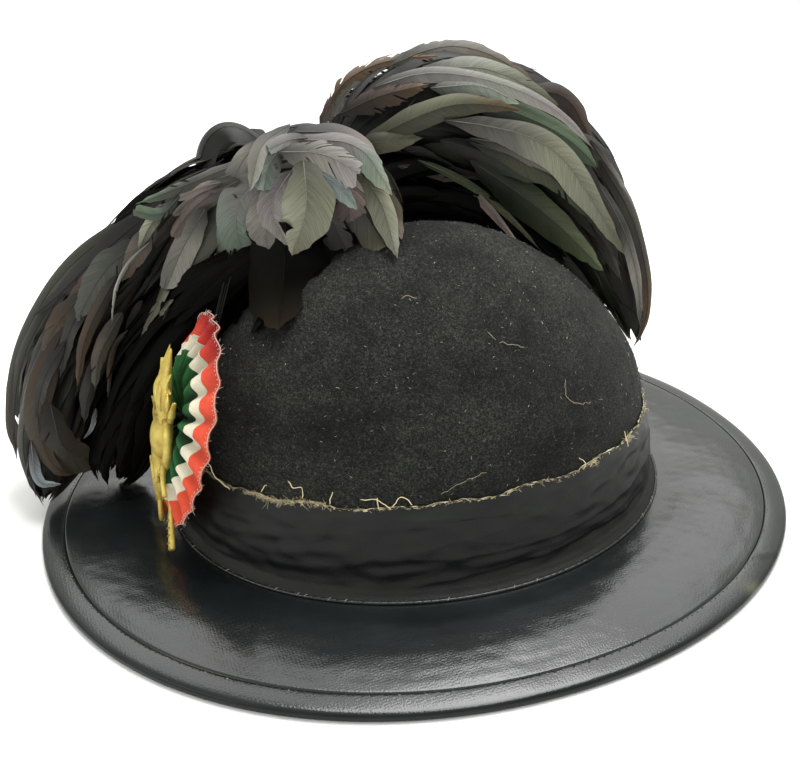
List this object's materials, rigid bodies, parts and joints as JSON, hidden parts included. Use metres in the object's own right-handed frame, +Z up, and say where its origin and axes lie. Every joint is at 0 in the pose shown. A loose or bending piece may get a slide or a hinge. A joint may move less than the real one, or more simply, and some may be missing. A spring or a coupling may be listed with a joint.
{
  "type": "bersaglieri hat",
  "caption": "Round black felt hat with a wide oval oilcloth brim, tall raw-edged cloth band, pleated tricolour cockade, brass horn badge and a sweeping cock-feather plume.",
  "frame": {"origin": "middle of the whole hat's footprint, on the surface that the brim rests on", "axes": "+Z up through the crown, the wearer faces -Y, the wearer's right and the plume are on -X"},
  "size_m": [0.2968, 0.3422, 0.1887],
  "materials": {
    "felt": "napped black wool felt with pale lint",
    "band_cloth": "black waxed cotton satin, soft creases",
    "brim_oilcloth": "glossy black oilcloth with a fine woven grain",
    "ribbon": "pleated ribbon in red, white and green rings",
    "brass": "soft satin stamped brass",
    "feather": "black-brown cock feathers with a green and lilac sheen",
    "quill": "bound quills, matt",
    "thread": "undyed cotton threads of the raw edge"
  },
  "bodies": {
    "root": {"crown": "felt", "hat_band": "band_cloth", "brim": "brim_oilcloth", "brim_binding": "brim_oilcloth", "seam_welt": "band_cloth", "plume_stem": "quill", "plume_rosette": "feather", "plume_front_fall": "feather", "plume_back_sweep": "feather", "cockade": "ribbon", "badge": "brass", "cockade_post": "brass"}
  },
  "joints": []
}
